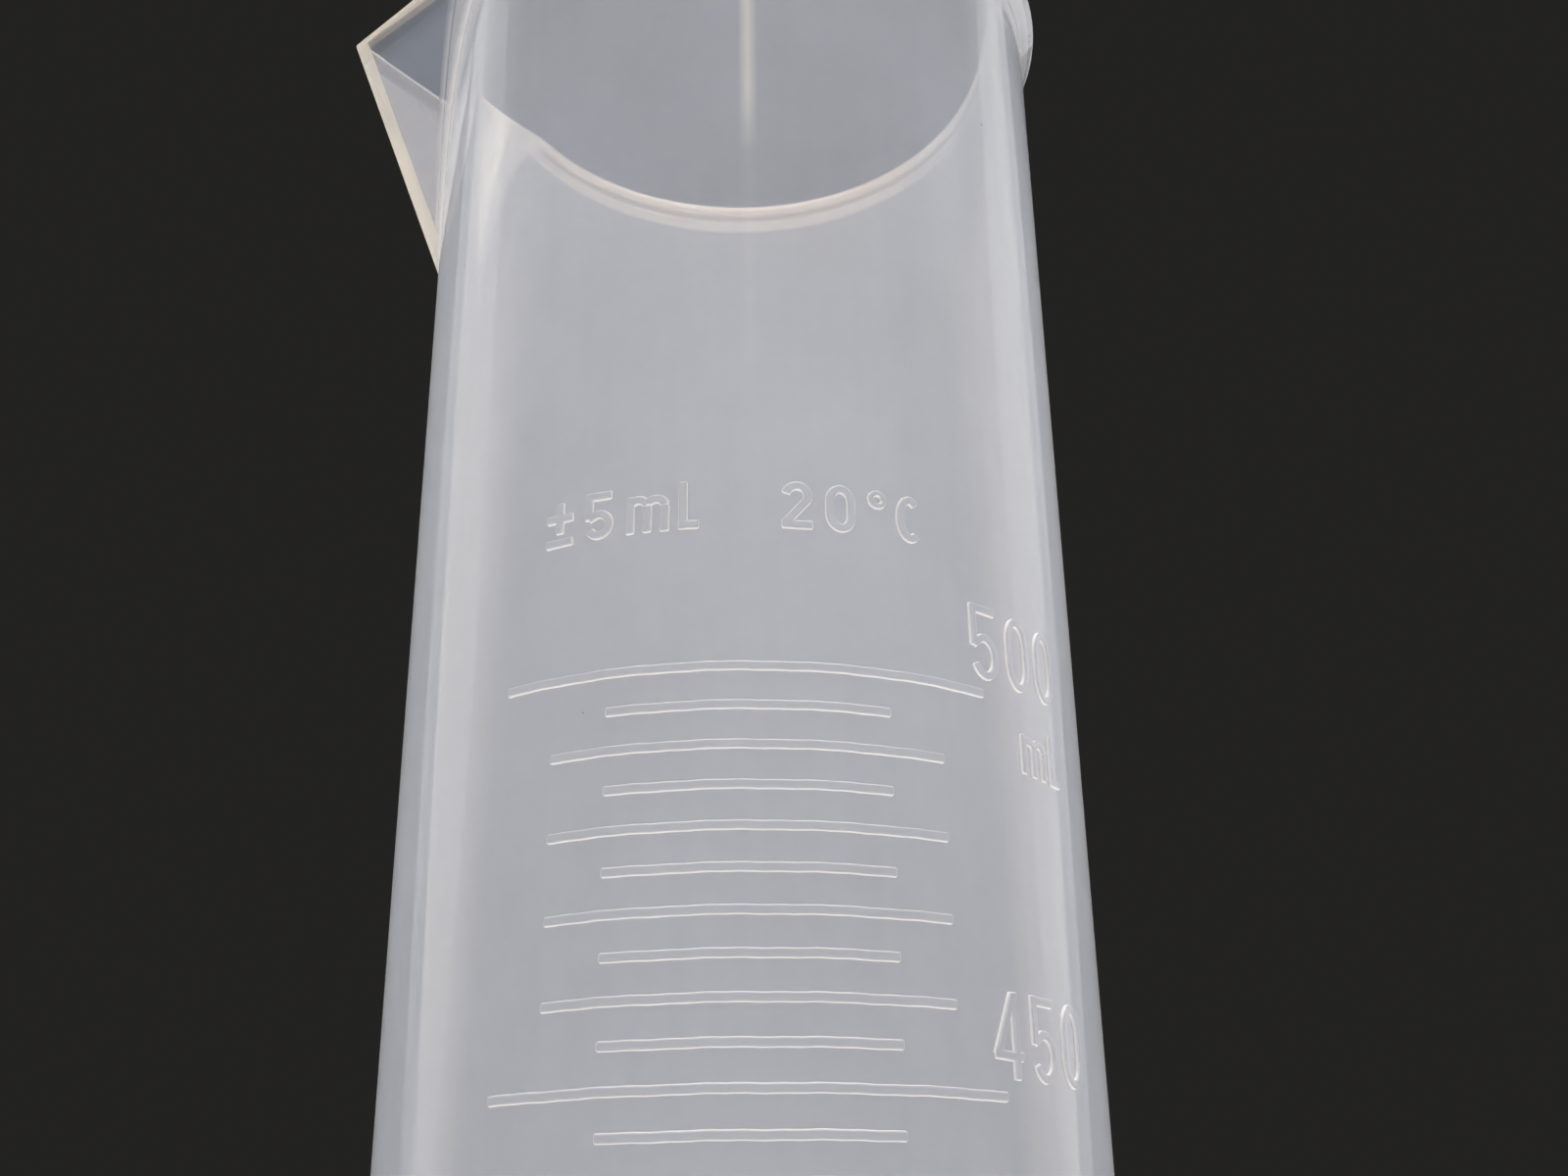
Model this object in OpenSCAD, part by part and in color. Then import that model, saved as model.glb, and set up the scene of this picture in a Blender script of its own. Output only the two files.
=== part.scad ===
// Graduated cylinder: a milky plastic measuring tube in a separate hexagonal foot.
// Millimetres, +Z up, origin at the centre of the foot's underside.
// The scale faces -Y and the pouring spout points to -X.

/* [Tube] */
// Outside diameter of the tube
tube_d = 53.7; // [45:0.1:62]
// Thickness of the tube's wall
tube_wall = 2.6; // [1.8:0.1:3.6]
// Thickness of the closed end
floor_t = 2.6; // [2:0.1:4]
// Radius of the corner inside the closed end
floor_round = 3; // [1:0.5:6]
// Chamfer around the outside of the closed end
end_chamfer = 0.8; // [0.4:0.1:1.5]
// Diameter of the shallow gate recess under the closed end
gate_d = 8; // [4:1:12]
// Height of bare wall from the top line to the rim
freeboard = 73.4; // [60:0.1:90]

/* [Rim] */
// How far the rim bead stands out from the tube
bead_out = 1.35; // [0.8:0.05:2]
// Height of the rim bead
bead_h = 2.6; // [2.6:0.1:5]
// Rounding of the mouth's inside edge
mouth_round = 1; // [0.4:0.1:1.4]

/* [Spout] */
// Distance that the spout's tip stands out from the tube
spout_reach = 9.7; // [6:0.1:14]
// Drop from the rim to where the keel meets the tube
spout_drop = 26.4; // [18:0.2:34]
// Half angle of the rim that the spout spans
spout_spread = 39; // [25:1:40]
// Extra half angle that the spout's hollow opens on the inside
hollow_flare = 2; // [0:0.5:3]
// Thickness of the spout's side walls at the tip
spout_wall = 1; // [0.8:0.1:1.6]

/* [Scale] */
// Volume at the top line, in millilitres
capacity = 500; // [300:50:500]
// Volume at the lowest line, in millilitres
scale_from = 50; // [50:50:100]
// Volume between neighbouring lines, in millilitres
line_step = 5; // [5:5:10]
// Volume between numbered lines, in millilitres
label_step = 50; // [50:50:100]
// Half angle around the tube of a numbered line
long_half = 37.5; // [30:0.5:42]
// Half angle around the tube of a middle line
mid_half = 29.2; // [22:0.2:29.8]
// Half angle around the tube of a short line
short_half = 20.6; // [14:0.2:21.8]
// Width of a raised line
line_w = 0.64; // [0.4:0.02:0.9]
// Height of the raised lines and figures above the tube
relief = 0.3; // [0.2:0.05:0.5]
// Angle that the scale's middle is turned around the tube, negative towards the spout
scale_turn = -2.2; // [-6:0.1:6]

/* [Figures] */
// Height of a figure
figure_h = 5.6; // [4:0.1:7]
// Width of a figure
figure_w = 2.7; // [2.2:0.1:3.4]
// Width of a figure's stroke
stroke_w = 0.62; // [0.4:0.02:0.8]
// Gap between neighbouring figures
figure_gap = 0.95; // [0.7:0.05:1.5]
// Angle around the tube from the scale's middle to the figures' left edge
figure_start = 35.5; // [30:0.5:42]
// Height of a number's foot above its line's middle
figure_rise = 1.1; // [0.8:0.1:3]
// Height of the unit mark
unit_h = 3.7; // [3:0.1:4.5]
// Angle around the tube from the scale's middle to the unit mark's left edge
unit_start = 45.5; // [40:0.5:50]
// Drop from the top line's middle to the unit mark's foot
unit_drop = 5; // [4.4:0.1:6]
// Height of the tolerance and temperature mark
mark_h = 3.6; // [3:0.1:5]
// Height of that mark's foot above the top line's middle
mark_rise = 10.1; // [6:0.1:30]

/* [Foot] */
// Width of the foot across its flats
foot_across = 94; // [84:1:110]
// Radius of the foot's corners
foot_corner = 8; // [4:0.5:14]
// Height of the foot's upright edge at its corners
skirt_h = 7; // [5:0.5:9]
// Slope of the foot's deck, in degrees
deck_slope = 11; // [6:1:14]
// Thickness of the foot's deck and skirt
foot_wall = 2.4; // [1.8:0.1:3.2]
// Thickness of the stiffening ribs under the foot
rib_t = 2; // [1.4:0.1:3]
// Gap between the table and the ribs and hub
rib_lift = 1; // [0.5:0.1:2]
// Height of the collar above the tube's closed end
socket_depth = 22; // [16:0.5:32]
// Thickness of the collar around the tube
collar_wall = 2.6; // [2:0.1:4]
// Radius of the blend between the collar and the deck
collar_blend = 5; // [2:0.5:8]
// Gap between the tube and the collar, on the radius
socket_gap = 0.15; // [0.08:0.01:0.3]
// Height of the tube's closed end above the table
seat_z = 11; // [10:0.5:14]
// Thickness of the shelf that the tube stands on
seat_t = 3; // [2:0.2:5]
// Diameter of the drain hole in the shelf
drain_d = 20; // [10:1:30]

/* [Catch] */
// Depth of the groove around the tube's lower end
groove_depth = 0.7; // [0.4:0.05:1]
// Height of the groove
groove_h = 3.4; // [2.6:0.1:5]
// Height of the groove's middle above the closed end
groove_rise = 9; // [6:0.5:12]

/* [Hidden] */
$fn = 96;
// Length by which raised shapes are rooted in the wall that carries them
ROOT = 0.5;
// Length by which cutters run past the face that they open
PAST = 1;
// Depth of the gate recess
GATE_DEPTH = 0.6;

tube_r = tube_d / 2;
bore_r = tube_r - tube_wall;
floor_z = seat_z + floor_t;
ml_h = 1000 / (PI * bore_r * bore_r);
rim_z = floor_z + capacity * ml_h + freeboard;
socket_r = tube_r + socket_gap;
collar_r = socket_r + collar_wall;
collar_z = seat_z + socket_depth;

// Height of the liquid's surface, and of its line, at a volume in millilitres
function level_z(ml) = floor_z + ml * ml_h;

// Points along an arc about c, from angle a0 to angle a1; rx and ry differ on an oval
function arc(c, rx, ry, a0, a1, n = 6) =
    [for (i = [0:n]) let (a = a0 + (a1 - a0) * i / n) c + [rx * cos(a), ry * sin(a)]];

// ---- Tube ----

module tube_outside() {
    crown = bead_out * 0.5;
    crown_r = tube_r + bead_out - crown;
    rotate_extrude()
        polygon(concat(
            [[0, seat_z + GATE_DEPTH], [gate_d / 2, seat_z + GATE_DEPTH], [gate_d / 2, seat_z]],
            [[tube_r - end_chamfer, seat_z], [tube_r, seat_z + end_chamfer]],
            [[tube_r, rim_z - bead_h]],
            arc([crown_r, rim_z - crown], crown, crown, 0, 90),
            [[crown_r, rim_z + PAST], [0, rim_z + PAST]]
        ));
}

// The bore, its rounded mouth, and all that stands above the rim
module tube_inside() {
    far = tube_r + spout_reach + PAST;
    rotate_extrude()
        polygon(concat(
            [[0, floor_z]],
            arc([bore_r - floor_round, floor_z + floor_round], floor_round, floor_round, -90, 0),
            arc([bore_r + mouth_round, rim_z - mouth_round], mouth_round, mouth_round, 180, 90),
            [[far, rim_z], [far, rim_z + 2 * spout_drop], [0, rim_z + 2 * spout_drop]]
        ));
}

// A wedge whose sides run from the tip to the wall at plus and minus spread and meet in a
// keel. Lift raises it along the keel, and grow makes it reach into the wall.
module spout_wedge(tip_r, wall_r, drop, spread, lift, grow) {
    tip = [-tip_r, 0, 0];
    right = [-wall_r * cos(spread), -wall_r * sin(spread), 0] - tip;
    left = [right[0], -right[1], 0];
    keel = [-wall_r, 0, -drop] - tip;
    translate([0, 0, rim_z])
        translate(tip - lift * keel)
            polyhedron(
                points = [[0, 0, 0], grow * right, grow * left, grow * keel],
                faces = [[0, 2, 1], [0, 1, 3], [0, 3, 2], [1, 2, 3]]
            );
}

module spout_outside() {
    spout_wedge(tube_r + spout_reach, tube_r, spout_drop, spout_spread, 0.05, 1.1);
}

// The hollow meets the bore a little further round than the outside meets the tube, so
// the walls thicken from spout_wall at the tip to the tube's own wall.
module spout_inside() {
    outer_tip = tube_r + spout_reach;
    side = [outer_tip - tube_r * cos(spout_spread), -tube_r * sin(spout_spread), 0];
    keel = [spout_reach, 0, -spout_drop];
    normal = cross(side, keel);
    tip_r = outer_tip - spout_wall * norm(normal) / abs(normal[0]);
    drop = spout_drop * (tip_r - bore_r) / spout_reach;
    spout_wedge(tip_r, bore_r, drop, spout_spread + hollow_flare, 0.1, 1.12);
}

module line(ml, half) {
    z = level_z(ml);
    rotate([0, 0, -90 - half])
        rotate_extrude(angle = 2 * half)
            polygon([
                [tube_r - ROOT, z - line_w / 2],
                [tube_r + relief, z - line_w / 2],
                [tube_r + relief, z + line_w / 2],
                [tube_r - ROOT, z + line_w / 2]
            ]);
}

module scale_lines() {
    for (ml = [scale_from:line_step:capacity])
        line(ml, ml % label_step == 0 ? long_half : ml % 10 == 0 ? mid_half : short_half);
}

// ---- Figures, each drawn in a cell w wide and h high from its lower left corner ----

// A straight stroke from a to b
module stroke(a, b) {
    u = (b - a) / norm(b - a) * stroke_w / 2;
    side = [-u[1], u[0]];
    polygon([a + side, a - side, b - side, b + side]);
}

// A curved stroke about c, whose middle follows an oval
module bow(c, rx, ry, a0, a1) {
    half = stroke_w / 2;
    polygon(concat(
        arc(c, rx + half, ry + half, a0, a1, 8),
        arc(c, rx - half, ry - half, a1, a0, 8)
    ));
}

module zero(w, h) {
    half = stroke_w / 2;
    end = 0.36 * h;
    difference() {
        polygon(concat(
            arc([w / 2, h - end], w / 2, end, 0, 180, 10),
            arc([w / 2, end], w / 2, end, 180, 360, 10)
        ));
        polygon(concat(
            arc([w / 2, h - end], w / 2 - 2 * half, end - 2 * half, 0, 180, 10),
            arc([w / 2, end], w / 2 - 2 * half, end - 2 * half, 180, 360, 10)
        ));
    }
}

module one(w, h) {
    x = 0.62 * w;
    stroke([x, 0], [x, h]);
    stroke([x, 0.95 * h], [0.14 * w, 0.78 * h]);
}

module two(w, h) {
    rx = (w - stroke_w) / 2;
    ry = 0.3 * h - stroke_w / 2;
    c = [w / 2, 0.7 * h];
    bow(c, rx, ry, 170, -25);
    stroke(c + [rx * cos(-20), ry * sin(-20)], [0.3 * stroke_w, stroke_w * 0.6]);
    stroke([0, stroke_w / 2], [w, stroke_w / 2]);
}

module three(w, h) {
    rx = (w - stroke_w) / 2;
    bow([w / 2, 0.75 * h], 0.94 * rx, 0.25 * h - stroke_w / 2, 155, -85);
    bow([w / 2, 0.28 * h], rx, 0.28 * h - stroke_w / 2, 85, -155);
}

module four(w, h) {
    bar_y = 0.27 * h;
    post_x = 0.74 * w;
    stroke([post_x, 0], [post_x, h]);
    stroke([post_x - 0.2 * stroke_w, 0.98 * h], [0.35 * stroke_w, bar_y]);
    stroke([0, bar_y], [w, bar_y]);
}

module five(w, h) {
    half = stroke_w / 2;
    bow_y = 0.31 * h;
    c = [w / 2, bow_y];
    rx = w / 2 - half;
    ry = bow_y - half;
    stroke([half, 0.43 * h], [half, h]);
    stroke([0.5 * half, h - half], [0.94 * w, h - half]);
    stroke([0.6 * half, 0.46 * h], c + [rx * cos(112), ry * sin(112)]);
    bow(c, rx, ry, 118, -155);
}

module figure(digit, w, h) {
    if (digit == 0) zero(w, h);
    if (digit == 1) one(w, h);
    if (digit == 2) two(w, h);
    if (digit == 3) three(w, h);
    if (digit == 4) four(w, h);
    if (digit == 5) five(w, h);
}

module letter_m(w, h) {
    half = stroke_w / 2;
    pitch = (w - stroke_w) / 2;
    for (i = [0:2])
        stroke([half + i * pitch, 0], [half + i * pitch, i == 0 ? h : 0.72 * h]);
    for (i = [0:1])
        bow([half + (i + 0.5) * pitch, 0.7 * h], pitch / 2, 0.3 * h - half, 0, 150);
}

module letter_l(w, h) {
    stroke([stroke_w / 2, 0], [stroke_w / 2, h]);
    stroke([0, stroke_w / 2], [w, stroke_w / 2]);
}

module letter_c(w, h) {
    bow([w / 2, h / 2], (w - stroke_w) / 2, (h - stroke_w) / 2, 50, 310);
}

module degree_ring(w, h) {
    r = 0.2 * h;
    translate([r, h - r])
        difference() {
            circle(r = r, $fn = 24);
            circle(r = r * 0.4, $fn = 24);
        }
}

module plus_minus(w, h) {
    stroke([0, 0.6 * h], [w, 0.6 * h]);
    stroke([w / 2, 0.27 * h], [w / 2, 0.93 * h]);
    stroke([0, stroke_w / 2], [w, stroke_w / 2]);
}

// Angle that a length takes up around the tube
function turn(length) = length / tube_r * 180 / PI;

// Raises a flat shape of width w from the tube's surface, with its left edge at an angle
// from the scale's middle and its foot at height z.
module raised(angle, w, z) {
    rotate([0, 0, angle + turn(w / 2)])
        translate([-w / 2, ROOT - tube_r, z])
            rotate([90, 0, 0])
                linear_extrude(2 * ROOT + relief)
                    children();
}

module number(value, z) {
    digits = value >= 100 ? [floor(value / 100), floor(value / 10) % 10, value % 10]
                          : [floor(value / 10), value % 10];
    for (i = [0:len(digits) - 1])
        raised(figure_start + i * turn(figure_w + figure_gap), figure_w, z)
            figure(digits[i], figure_w, figure_h);
}

module unit_mark(angle, z, h) {
    m_w = 0.86 * h;
    raised(angle, m_w, z)
        letter_m(m_w, 0.78 * h);
    raised(angle + turn(m_w + 0.18 * h), 0.4 * h, z)
        letter_l(0.4 * h, h);
}

// The tolerance and the temperature at which the scale is true, centred on the scale
module true_at_mark(z, h) {
    w = 0.6 * h;
    step = turn(w + 0.26 * h);
    start = -4.75 * step;
    raised(start, w, z) plus_minus(w, h);
    raised(start + step, w, z) figure(5, w, h);
    unit_mark(start + 2 * step, z, h);
    raised(start + 5.5 * step, w, z) figure(2, w, h);
    raised(start + 6.5 * step, w, z) figure(0, w, h);
    raised(start + 7.5 * step, 0.4 * h, z) degree_ring(w, h);
    raised(start + 8.2 * step, w, z) letter_c(w, h);
}

module figures() {
    intersection() {
        union() {
            for (ml = [scale_from:label_step:capacity])
                number(ml, level_z(ml) + figure_rise);
            unit_mark(unit_start, level_z(capacity) - unit_drop, unit_h);
            true_at_mark(level_z(capacity) + mark_rise, mark_h);
        }
        translate([0, 0, seat_z])
            cylinder(r = tube_r + relief, h = rim_z - seat_z);
    }
}

// ---- Catch: a groove round the tube, which a ridge inside the collar snaps into ----

// Half section of a ring with sloping flanks, from a root radius to a tip radius
module catch_ring(root_r, tip_r, height) {
    slope = abs(tip_r - root_r);
    middle = seat_z + groove_rise;
    rotate_extrude()
        polygon([
            [root_r, middle - height / 2],
            [tip_r, middle - height / 2 + slope],
            [tip_r, middle + height / 2 - slope],
            [root_r, middle + height / 2]
        ]);
}

module tube() {
    color([0.86, 0.88, 0.9, 0.6])
        difference() {
            union() {
                tube_outside();
                spout_outside();
                rotate([0, 0, scale_turn]) {
                    scale_lines();
                    figures();
                }
            }
            tube_inside();
            spout_inside();
            catch_ring(tube_r + PAST, tube_r - groove_depth, groove_h + 2 * PAST);
        }
}

// ---- Foot ----

// A hexagon with round corners and a flat facing -Y
module hexagon(across, corner) {
    reach = (across / 2 - corner) / cos(30);
    polygon([for (k = [0:5])
        for (p = arc(reach * [cos(60 * k), sin(60 * k)], corner, corner, 60 * k - 30, 60 * k + 30, 5))
            p]);
}

// Farthest that the hexagon's corners reach from the axis
foot_reach = (foot_across / 2 - foot_corner) / cos(30) + foot_corner;
// Height of the deck's upper face at a radius, before the blend into the collar
function deck_z(r) = skirt_h + (foot_reach - r) * tan(deck_slope);

module foot_outside() {
    blend_r = collar_r + collar_blend;
    blend_z = deck_z(blend_r) + collar_blend / cos(deck_slope);
    lip = collar_wall * 0.4;
    edge_r = foot_reach + PAST;
    intersection() {
        linear_extrude(collar_z + PAST)
            hexagon(foot_across, foot_corner);
        rotate_extrude()
            polygon(concat(
                [[0, 0], [edge_r, 0], [edge_r, deck_z(edge_r)]],
                arc([blend_r, blend_z], collar_blend, collar_blend, 270 - deck_slope, 180),
                arc([collar_r - lip, collar_z - lip], lip, lip, 0, 90, 4),
                [[0, collar_z]]
            ));
    }
}

// The space under the deck, between the hub, the skirt and the ribs
module foot_hollow() {
    under = foot_wall / cos(deck_slope);
    edge_r = foot_reach + PAST;
    difference() {
        intersection() {
            translate([0, 0, -PAST])
                linear_extrude(collar_z)
                    hexagon(foot_across - 2 * foot_wall, foot_corner - foot_wall);
            rotate_extrude()
                polygon([
                    [collar_r, -PAST],
                    [edge_r, -PAST],
                    [edge_r, deck_z(edge_r) - under],
                    [collar_r, deck_z(collar_r) - under]
                ]);
        }
        for (k = [0:5])
            rotate([0, 0, 60 * k])
                translate([0, -rib_t / 2, rib_lift])
                    cube([foot_across, rib_t, collar_z]);
    }
}

module socket() {
    lead_in = collar_wall * 0.35;
    rotate_extrude()
        polygon([
            [0, seat_z],
            [socket_r, seat_z],
            [socket_r, collar_z - lead_in],
            [socket_r + lead_in, collar_z],
            [socket_r + lead_in, collar_z + PAST],
            [0, collar_z + PAST]
        ]);
}

// The hollow of the hub under the shelf, the gap under the hub and the drain hole
module hub_hollow() {
    translate([0, 0, -PAST]) {
        cylinder(r = socket_r, h = PAST + seat_z - seat_t);
        cylinder(r = collar_r + PAST, h = PAST + rib_lift);
        cylinder(d = drain_d, h = 2 * PAST + seat_z);
    }
}

module foot() {
    color([0.88, 0.9, 0.91, 0.85]) {
        difference() {
            foot_outside();
            foot_hollow();
            socket();
            hub_hollow();
        }
        catch_ring(
            socket_r + ROOT,
            tube_r - groove_depth + socket_gap,
            groove_h - 2 * sqrt(2) * socket_gap + 2 * (socket_gap + ROOT)
        );
    }
}

tube();
foot();
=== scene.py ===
import math

import bmesh
import bpy
import numpy as np
from mathutils import Matrix, Vector


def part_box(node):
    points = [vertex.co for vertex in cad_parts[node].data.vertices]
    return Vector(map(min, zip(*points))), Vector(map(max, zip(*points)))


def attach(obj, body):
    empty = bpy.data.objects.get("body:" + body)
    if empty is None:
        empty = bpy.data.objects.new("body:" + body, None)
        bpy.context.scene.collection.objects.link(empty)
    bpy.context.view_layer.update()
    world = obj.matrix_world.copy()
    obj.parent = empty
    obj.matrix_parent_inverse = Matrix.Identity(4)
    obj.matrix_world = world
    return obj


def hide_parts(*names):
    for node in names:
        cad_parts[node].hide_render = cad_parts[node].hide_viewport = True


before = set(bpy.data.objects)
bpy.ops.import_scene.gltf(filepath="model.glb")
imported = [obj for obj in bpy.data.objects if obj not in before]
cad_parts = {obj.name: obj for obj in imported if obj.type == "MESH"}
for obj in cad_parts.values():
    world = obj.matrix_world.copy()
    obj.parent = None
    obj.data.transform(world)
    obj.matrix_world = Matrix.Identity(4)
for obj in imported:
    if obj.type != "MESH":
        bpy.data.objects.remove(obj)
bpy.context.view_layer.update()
scene = bpy.context.scene
scene.view_settings.view_transform = "Standard"


# ---- Graduated tube ----
# The measuring tube: one injection moulding in natural, milky polypropylene with a closed end,
# a rim bead, a pouring spout and a raised scale. It stands in the foot's socket and is held
# there by a groove around its lower end.
tube_low, tube_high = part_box("tube")
seat_z = tube_low.z * 1000
rim_z = tube_high.z * 1000

BEAD_OUT = 1.35
BEAD_H = 2.6
WALL = 2.6
END_WALL = 2.6
tube_r = tube_high.x * 1000 - BEAD_OUT
bore_r = tube_r - WALL
floor_z = seat_z + END_WALL
reach = -tube_low.x * 1000 - tube_r
ml_h = 1000 / (math.pi * bore_r * bore_r)


def level(ml):
    return floor_z + ml * ml_h


def arc(cx, cy, rx, ry, start, end, steps=12):
    """Points along an oval about (cx, cy), from one angle to another in degrees."""
    turns = [math.radians(start + (end - start) * i / steps) for i in range(steps + 1)]
    return [(cx + rx * math.cos(a), cy + ry * math.sin(a)) for a in turns]


def solid(name, points, faces):
    """An object made of points in millimetres, with its faces turned outwards."""
    mesh = bpy.data.meshes.new(name)
    mesh.from_pydata([(x / 1000, y / 1000, z / 1000) for x, y, z in points], [], faces)
    shape = bmesh.new()
    shape.from_mesh(mesh)
    bmesh.ops.recalc_face_normals(shape, faces=shape.faces)
    shape.to_mesh(mesh)
    shape.free()
    piece = bpy.data.objects.new(name, mesh)
    scene.collection.objects.link(piece)
    return piece


def rings_solid(name, rings, closed_along=False):
    """A closed solid skinned over rings that all have the same number of points."""
    count = len(rings[0])
    points = [p for ring in rings for p in ring]
    faces = []
    pairs = len(rings) if closed_along else len(rings) - 1
    for i in range(pairs):
        a = i * count
        b = ((i + 1) % len(rings)) * count
        for j in range(count):
            k = (j + 1) % count
            faces.append((a + j, a + k, b + k, b + j))
    if not closed_along:
        faces.append(tuple(range(count)))
        faces.append(tuple(range((len(rings) - 1) * count, len(rings) * count)))
    return solid(name, points, faces)


def revolved(name, profile, steps):
    """A solid of revolution. The profile runs from the axis out and back to the axis."""
    turns = [2 * math.pi * i / steps for i in range(steps)]
    points = [(0, 0, profile[0][1]), (0, 0, profile[-1][1])]
    for r, z in profile[1:-1]:
        points += [(r * math.cos(a), r * math.sin(a), z) for a in turns]
    rows = len(profile) - 2
    faces = []
    for j in range(steps):
        k = (j + 1) % steps
        faces.append((0, 2 + k, 2 + j))
        faces.append((1, 2 + (rows - 1) * steps + j, 2 + (rows - 1) * steps + k))
        for i in range(rows - 1):
            a = 2 + i * steps
            b = a + steps
            faces.append((a + j, a + k, b + k, b + j))
    return solid(name, points, faces)


def combine(piece, tools, operation):
    """Adds the tools to the piece, or cuts them from it, and removes them."""
    group = bpy.data.collections.new("tools")
    scene.collection.children.link(group)
    for tool in tools:
        group.objects.link(tool)
        scene.collection.objects.unlink(tool)
    change = piece.modifiers.new("change", "BOOLEAN")
    change.operand_type = "COLLECTION"
    change.collection = group
    change.solver = "MANIFOLD"
    change.operation = operation
    graph = bpy.context.evaluated_depsgraph_get()
    mesh = bpy.data.meshes.new_from_object(piece.evaluated_get(graph))
    piece.modifiers.clear()
    piece.data = mesh
    for tool in tools:
        bpy.data.objects.remove(tool)
    bpy.data.collections.remove(group)


# Blank: the outside of the tube with the groove, the rim bead and the gate recess
GROOVE_UP = 9
GROOVE_DEPTH = 0.7
GATE_R = 4.0
GATE_DEPTH = 0.6
ROUND_STEPS = 384
groove_z = seat_z + GROOVE_UP
groove_r = tube_r - GROOVE_DEPTH
crown = BEAD_OUT * 0.5
crown_r = tube_r + BEAD_OUT - crown
bead_low = rim_z - BEAD_H
blank_profile = [(0, seat_z + GATE_DEPTH), (GATE_R - 0.2, seat_z + GATE_DEPTH)]
blank_profile += [(GATE_R, seat_z), (tube_r - 1.6, seat_z)]
blank_profile += [(tube_r - 0.8, seat_z), (tube_r, seat_z + 0.8), (tube_r, groove_z - 1.7)]
blank_profile += [(groove_r, groove_z - 1), (groove_r, groove_z + 1)]
blank_profile += [(tube_r, groove_z + 1.7)]
blank_profile += [(tube_r, z) for z in np.linspace(60, rim_z - 40, 9)]
blank_profile += [(tube_r, z) for z in np.linspace(rim_z - 36, bead_low - 0.4, 10)]
blank_profile += [(tube_r, bead_low - 0.06), (tube_r + 0.03, bead_low + 0.04)]
taper = rim_z - crown - bead_low
blank_profile += [(tube_r + BEAD_OUT * t, bead_low + taper * t) for t in (0.15, 0.4, 0.65, 0.85)]
blank_profile += arc(crown_r, rim_z - crown, crown, crown, 0, 90, 8)
blank_profile += [(crown_r - 0.3, rim_z + 1), (0, rim_z + 1)]
tube = revolved("graduated_tube", blank_profile, ROUND_STEPS)


# Spout: a wedge with flat flanks and a rounded keel, made of level sections
SPREAD = math.radians(39)
SPOUT_DROP = 26.4
SPOUT_WALL = 1.0
KEEL_NOSE = 0.35
HOLLOW_NOSE = 0.4
HOLLOW_BACK = -16.9
HOLLOW_FLARE = math.radians(2)
LIP_ROUND = 0.22


def wedge(name, tip_r, wall_r, drop, spread, back_x, nose, lip, lift):
    """Level sections of a spout. Each runs from the wall around the nose and back.

    The top edge is rounded by a positive lip and opened by a negative one. The lift is how far
    the wedge stands above the rim.
    """
    side = Vector((tip_r - wall_r * math.cos(spread), wall_r * math.sin(spread)))
    half = math.atan2(side.y, side.x)
    depth = drop * 1.09
    lip_part = 0.7
    levels = 44
    lip_levels = 8
    heights = [rim_z - depth + (depth - lip_part) * i / levels for i in range(levels + 1)]
    heights += [rim_z - lip_part + lip_part * i / lip_levels for i in range(1, lip_levels + 1)]
    if lift:
        heights += [rim_z + lift]
    else:
        heights[-1] = rim_z - 0.001
    side_points = 14
    rings = []
    for z in heights:
        share = 1 - (rim_z - z) / drop
        apex = wall_r + (tip_r - wall_r) * min(share, 1)
        over = min(max(z - (rim_z - abs(lip)), 0), abs(lip))
        inset = abs(lip) - math.sqrt(lip * lip - over * over) if lip else 0
        apex += (-inset if lip > 0 else inset) / math.sin(half)
        centre = apex - nose / math.sin(half)
        nose_turn = 90 - math.degrees(half)
        curve = arc(-centre, 0, nose, nose, 180 - nose_turn, 180 + nose_turn, 10)
        far_y = (apex + back_x) * math.tan(half)
        upper = [(back_x, far_y)]
        near = curve[0]
        for i in range(1, side_points):
            mix = i / side_points
            upper.append((back_x + (near[0] - back_x) * mix, far_y + (near[1] - far_y) * mix))
        lower = [(x, -y) for x, y in reversed(upper)]
        rings.append([(x, y, z) for x, y in upper + curve + lower])
    return rings_solid(name, rings)


spout = wedge("spout", tube_r + reach, tube_r, SPOUT_DROP, SPREAD,
              -tube_r * math.cos(SPREAD) + 0.9, KEEL_NOSE, LIP_ROUND, 0)
flank = Vector((tube_r + reach - tube_r * math.cos(SPREAD), -tube_r * math.sin(SPREAD), 0))
slant = flank.cross(Vector((reach, 0, -SPOUT_DROP)))
hollow_tip = tube_r + reach - SPOUT_WALL * slant.length / abs(slant.x)
hollow_drop = SPOUT_DROP * (hollow_tip - bore_r) / reach
spout_hollow = wedge("spout_hollow", hollow_tip, bore_r, hollow_drop,
                     SPREAD + HOLLOW_FLARE, HOLLOW_BACK, HOLLOW_NOSE, -LIP_ROUND, 2)

# Bore: the inside of the tube, with its rounded mouth and all that stands above the rim
FLOOR_ROUND = 3
MOUTH_ROUND = 1
clear_r = tube_r + reach + 2
clear_z = rim_z + 4
round_r = bore_r - FLOOR_ROUND
bore_profile = [(0, floor_z), (12, floor_z)]
bore_profile += arc(round_r, floor_z + FLOOR_ROUND, FLOOR_ROUND, FLOOR_ROUND, -90, 0, 14)
bore_profile += [(bore_r, z) for z in np.linspace(60, rim_z - 40, 9)]
bore_profile += [(bore_r, z) for z in np.linspace(rim_z - 36, rim_z - 2, 10)]
bore_profile += arc(bore_r + MOUTH_ROUND, rim_z - MOUTH_ROUND, MOUTH_ROUND, MOUTH_ROUND, 180, 90, 10)
bore_profile += [(clear_r, rim_z), (clear_r, clear_z), (0, clear_z)]
bore = revolved("bore", bore_profile, ROUND_STEPS)

# Raised scale and figures: strokes with rounded shoulders, laid around the tube
SCALE_TURN = math.radians(-2.2)
RELIEF = 0.3
LINE_W = 0.64
STROKE = 0.62
STROKE_STEP = 0.62


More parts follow.
